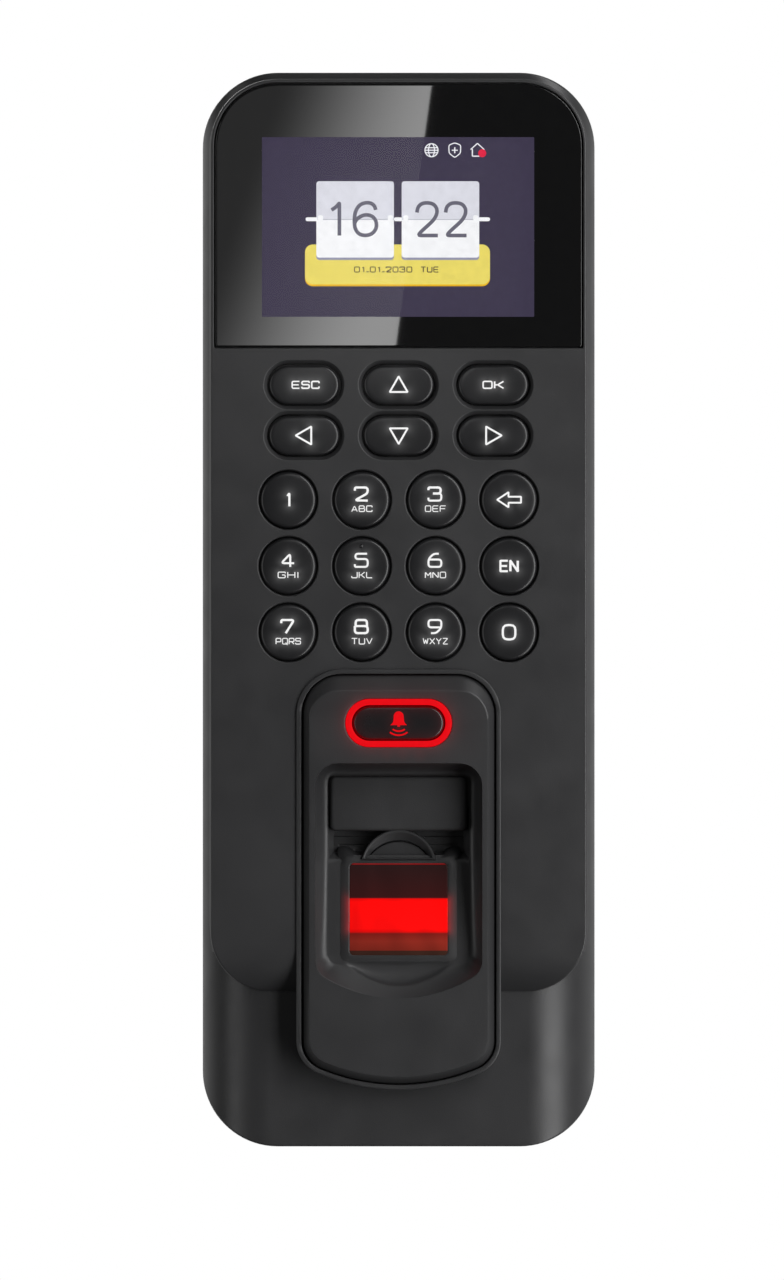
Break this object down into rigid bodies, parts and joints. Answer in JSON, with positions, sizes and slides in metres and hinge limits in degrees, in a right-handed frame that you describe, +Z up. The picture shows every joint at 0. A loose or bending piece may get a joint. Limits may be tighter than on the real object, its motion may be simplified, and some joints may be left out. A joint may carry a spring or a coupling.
{
  "type": "fingerprint scanner terminal",
  "caption": "Wall-mounted access terminal: glass display above, menu and number keys, and a raised finger module with a lit bell button, a red-lit tilted sensor window and a finger recess.",
  "frame": {"origin": "centre of the wall plate's back face, on the wall", "axes": "+Z up, +X to the right seen from the front, -Y towards the person who uses it"},
  "size_m": [0.0658, 0.0367, 0.18],
  "materials": {
    "cover_plastic": "satin moulded polycarbonate, fine spark texture",
    "cover_plastic_dark": "matte moulded, coarser texture",
    "menu_key_plastic": "satin moulded",
    "number_key_plastic": "polished dark, laser-cut legends",
    "button_plastic": "polished dark, red legend",
    "plate_plastic": "fine matte",
    "part_plastic": "moulded black",
    "block_plastic": "moulded green",
    "plunger_plastic": "smooth acetal",
    "window_glass": "black-printed cover glass",
    "sensor_glass": "optical glass, lit red",
    "screen": "lit colour screen",
    "red_light": "translucent light guide, lit red",
    "light": "small lamp",
    "plate_steel": "zinc plated sheet",
    "frame_steel": "tinned sheet",
    "contact_steel": "nickel plated",
    "screw_steel": "zinc plated",
    "seal_rubber": "soft matte",
    "silicone": "translucent matte",
    "tape": "foam adhesive tape",
    "ribbon": "polyimide film",
    "board": "solder mask"
  },
  "bodies": {
    "wall_bracket": {"wall_plate": "plate_steel"},
    "terminal": {"rear_cover": "cover_plastic_dark", "front_cover": "cover_plastic", "cover_seal": "seal_rubber", "display_window": "window_glass", "window_tape": "tape", "screen_panel": "screen", "screen_frame": "frame_steel", "screen_ribbon": "ribbon", "keypad_mat": "silicone", "keypad_board": "board", "dome_switches": "contact_steel", "key_lights": "light", "module_cover": "cover_plastic", "bell_light_ring": "red_light", "bell_board": "board", "bell_switch": "part_plastic", "finger_plate": "plate_plastic", "sensor_frame": "part_plastic", "sensor_window": "sensor_glass", "sensor_prism": "sensor_glass", "sensor_housing": "part_plastic", "sensor_board": "board", "sensor_lights": "red_light", "sensor_camera": "part_plastic", "main_board": "board", "main_chips": "part_plastic", "shield_can": "frame_steel", "coin_cell": "contact_steel", "cell_holder": "part_plastic", "speaker": "part_plastic", "network_jack": "frame_steel", "terminal_block": "block_plastic", "tamper_switch": "part_plastic", "cover_screws": "screw_steel", "module_screws": "screw_steel", "board_screws": "screw_steel", "security_screw": "screw_steel"},
    "key_esc": {"key_esc": "menu_key_plastic"},
    "key_up": {"key_up": "menu_key_plastic"},
    "key_ok": {"key_ok": "menu_key_plastic"},
    "key_left": {"key_left": "menu_key_plastic"},
    "key_down": {"key_down": "menu_key_plastic"},
    "key_right": {"key_right": "menu_key_plastic"},
    "key_1": {"key_1": "number_key_plastic"},
    "key_2": {"key_2": "number_key_plastic"},
    "key_3": {"key_3": "number_key_plastic"},
    "key_back": {"key_back": "number_key_plastic"},
    "key_4": {"key_4": "number_key_plastic"},
    "key_5": {"key_5": "number_key_plastic"},
    "key_6": {"key_6": "number_key_plastic"},
    "key_language": {"key_language": "number_key_plastic"},
    "key_7": {"key_7": "number_key_plastic"},
    "key_8": {"key_8": "number_key_plastic"},
    "key_9": {"key_9": "number_key_plastic"},
    "key_0": {"key_0": "number_key_plastic"},
    "bell_button": {"bell_button": "button_plastic"},
    "tamper_plunger": {"tamper_plunger": "plunger_plastic"}
  },
  "joints": [
    {"name": "lift_off", "type": "slide", "parent": "wall_bracket", "child": "terminal", "axis": [0, 0, 1], "range_m": [0, 0.006]},
    {"name": "press_key_esc", "type": "slide", "parent": "terminal", "child": "key_esc", "axis": [0, 1, 0], "range_m": [0, 0.0008], "stiffness_N_per_m": 1200, "springref_m": -0.0004, "deforming": ["keypad_mat"]},
    {"name": "press_key_up", "type": "slide", "parent": "terminal", "child": "key_up", "axis": [0, 1, 0], "range_m": [0, 0.0008], "stiffness_N_per_m": 1200, "springref_m": -0.0004, "deforming": ["keypad_mat"]},
    {"name": "press_key_ok", "type": "slide", "parent": "terminal", "child": "key_ok", "axis": [0, 1, 0], "range_m": [0, 0.0008], "stiffness_N_per_m": 1200, "springref_m": -0.0004, "deforming": ["keypad_mat"]},
    {"name": "press_key_left", "type": "slide", "parent": "terminal", "child": "key_left", "axis": [0, 1, 0], "range_m": [0, 0.0008], "stiffness_N_per_m": 1200, "springref_m": -0.0004, "deforming": ["keypad_mat"]},
    {"name": "press_key_down", "type": "slide", "parent": "terminal", "child": "key_down", "axis": [0, 1, 0], "range_m": [0, 0.0008], "stiffness_N_per_m": 1200, "springref_m": -0.0004, "deforming": ["keypad_mat"]},
    {"name": "press_key_right", "type": "slide", "parent": "terminal", "child": "key_right", "axis": [0, 1, 0], "range_m": [0, 0.0008], "stiffness_N_per_m": 1200, "springref_m": -0.0004, "deforming": ["keypad_mat"]},
    {"name": "press_key_1", "type": "slide", "parent": "terminal", "child": "key_1", "axis": [0, 1, 0], "range_m": [0, 0.0008], "stiffness_N_per_m": 1200, "springref_m": -0.0004, "deforming": ["keypad_mat"]},
    {"name": "press_key_2", "type": "slide", "parent": "terminal", "child": "key_2", "axis": [0, 1, 0], "range_m": [0, 0.0008], "stiffness_N_per_m": 1200, "springref_m": -0.0004, "deforming": ["keypad_mat"]},
    {"name": "press_key_3", "type": "slide", "parent": "terminal", "child": "key_3", "axis": [0, 1, 0], "range_m": [0, 0.0008], "stiffness_N_per_m": 1200, "springref_m": -0.0004, "deforming": ["keypad_mat"]},
    {"name": "press_key_back", "type": "slide", "parent": "terminal", "child": "key_back", "axis": [0, 1, 0], "range_m": [0, 0.0008], "stiffness_N_per_m": 1200, "springref_m": -0.0004, "deforming": ["keypad_mat"]},
    {"name": "press_key_4", "type": "slide", "parent": "terminal", "child": "key_4", "axis": [0, 1, 0], "range_m": [0, 0.0008], "stiffness_N_per_m": 1200, "springref_m": -0.0004, "deforming": ["keypad_mat"]},
    {"name": "press_key_5", "type": "slide", "parent": "terminal", "child": "key_5", "axis": [0, 1, 0], "range_m": [0, 0.0008], "stiffness_N_per_m": 1200, "springref_m": -0.0004, "deforming": ["keypad_mat"]},
    {"name": "press_key_6", "type": "slide", "parent": "terminal", "child": "key_6", "axis": [0, 1, 0], "range_m": [0, 0.0008], "stiffness_N_per_m": 1200, "springref_m": -0.0004, "deforming": ["keypad_mat"]},
    {"name": "press_key_language", "type": "slide", "parent": "terminal", "child": "key_language", "axis": [0, 1, 0], "range_m": [0, 0.0008], "stiffness_N_per_m": 1200, "springref_m": -0.0004, "deforming": ["keypad_mat"]},
    {"name": "press_key_7", "type": "slide", "parent": "terminal", "child": "key_7", "axis": [0, 1, 0], "range_m": [0, 0.0008], "stiffness_N_per_m": 1200, "springref_m": -0.0004, "deforming": ["keypad_mat"]},
    {"name": "press_key_8", "type": "slide", "parent": "terminal", "child": "key_8", "axis": [0, 1, 0], "range_m": [0, 0.0008], "stiffness_N_per_m": 1200, "springref_m": -0.0004, "deforming": ["keypad_mat"]},
    {"name": "press_key_9", "type": "slide", "parent": "terminal", "child": "key_9", "axis": [0, 1, 0], "range_m": [0, 0.0008], "stiffness_N_per_m": 1200, "springref_m": -0.0004, "deforming": ["keypad_mat"]},
    {"name": "press_key_0", "type": "slide", "parent": "terminal", "child": "key_0", "axis": [0, 1, 0], "range_m": [0, 0.0008], "stiffness_N_per_m": 1200, "springref_m": -0.0004, "deforming": ["keypad_mat"]},
    {"name": "press_bell_button", "type": "slide", "parent": "terminal", "child": "bell_button", "axis": [0, 1, 0], "range_m": [0, 0.0005], "stiffness_N_per_m": 1500, "springref_m": -0.0003, "deforming": ["bell_switch"]},
    {"name": "tamper_release", "type": "slide", "parent": "terminal", "child": "tamper_plunger", "axis": [0, 1, 0], "range_m": [0, 0.0012], "stiffness_N_per_m": 60, "springref_m": 0.002}
  ],
  "couplings": [
    {"joint": "tamper_release", "follows": "lift_off", "ratio": 0.2}
  ]
}
